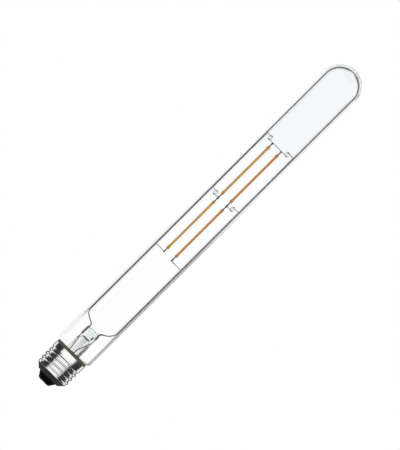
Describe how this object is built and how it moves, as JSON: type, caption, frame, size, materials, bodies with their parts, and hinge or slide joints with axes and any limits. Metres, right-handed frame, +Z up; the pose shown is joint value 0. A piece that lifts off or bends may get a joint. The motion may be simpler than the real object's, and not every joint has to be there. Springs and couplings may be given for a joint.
{
  "type": "tubular light bulb",
  "caption": "Clear tubular light bulb: a domed glass tube on a screw cap, with upright amber filaments held between rail wires that rise from a glass stem.",
  "frame": {"origin": "middle of the centre contact's outer face, at the lamp's lower end", "axes": "+Z runs up the lamp's axis from the contact to the top of the dome; +X points from the left filament column to the right one; the front, as pictured, faces -Y"},
  "size_m": [0.0295, 0.0294, 0.3],
  "materials": {
    "cap_plate": "bright nickel plate on rolled sheet",
    "insulator": "glossy black",
    "contact": "plated, lightly dulled",
    "cement": "dull olive brown",
    "clear_glass": "clear and polished",
    "stem_glass": "clear with a faint green tint",
    "bead_glass": "milky, faint green tint",
    "lead_wire": "drawn wire",
    "rail_wire": "drawn wire, dull grey",
    "cross_wire": "drawn wire, dull grey",
    "tab_metal": "stamped strip",
    "phosphor_amber": "amber phosphor in silicone",
    "phosphor_orange": "orange-amber phosphor in silicone",
    "circuit_board": "solder-masked laminate",
    "chip_case": "moulded black",
    "capacitor_sleeve": "shrink sleeve on a can",
    "fuse_body": "flameproof lacquer"
  },
  "bodies": {
    "root": {"cap_shell": "cap_plate", "cap_insulator": "insulator", "centre_contact": "contact", "basing_cement": "cement", "glass_envelope": "clear_glass", "stem_flare": "stem_glass", "exhaust_tube": "stem_glass", "lead_in_left": "lead_wire", "rail_left": "rail_wire", "lower_cross_wire_left": "cross_wire", "middle_rail_wire_left": "cross_wire", "middle_filament_wire_left": "cross_wire", "top_rail_wire_left": "cross_wire", "lead_in_right": "lead_wire", "rail_right": "rail_wire", "lower_cross_wire_right": "cross_wire", "middle_rail_wire_right": "cross_wire", "middle_filament_wire_right": "cross_wire", "top_rail_wire_right": "cross_wire", "top_crossbar": "cross_wire", "middle_bead_left": "bead_glass", "top_bead_left": "bead_glass", "middle_bead_right": "bead_glass", "top_bead_right": "bead_glass", "lower_filament_left": "phosphor_amber", "lower_filament_left_bottom_tab": "tab_metal", "lower_filament_left_top_tab": "tab_metal", "upper_filament_left": "phosphor_amber", "upper_filament_left_bottom_tab": "tab_metal", "upper_filament_left_top_tab": "tab_metal", "lower_filament_right": "phosphor_orange", "lower_filament_right_bottom_tab": "tab_metal", "lower_filament_right_top_tab": "tab_metal", "upper_filament_right": "phosphor_orange", "upper_filament_right_bottom_tab": "tab_metal", "upper_filament_right_top_tab": "tab_metal", "driver_board": "circuit_board", "bridge_rectifier": "chip_case", "driver_chip": "chip_case", "smoothing_capacitor": "capacitor_sleeve", "fuse_resistor": "fuse_body", "live_wire": "lead_wire", "neutral_wire": "lead_wire"}
  },
  "joints": []
}
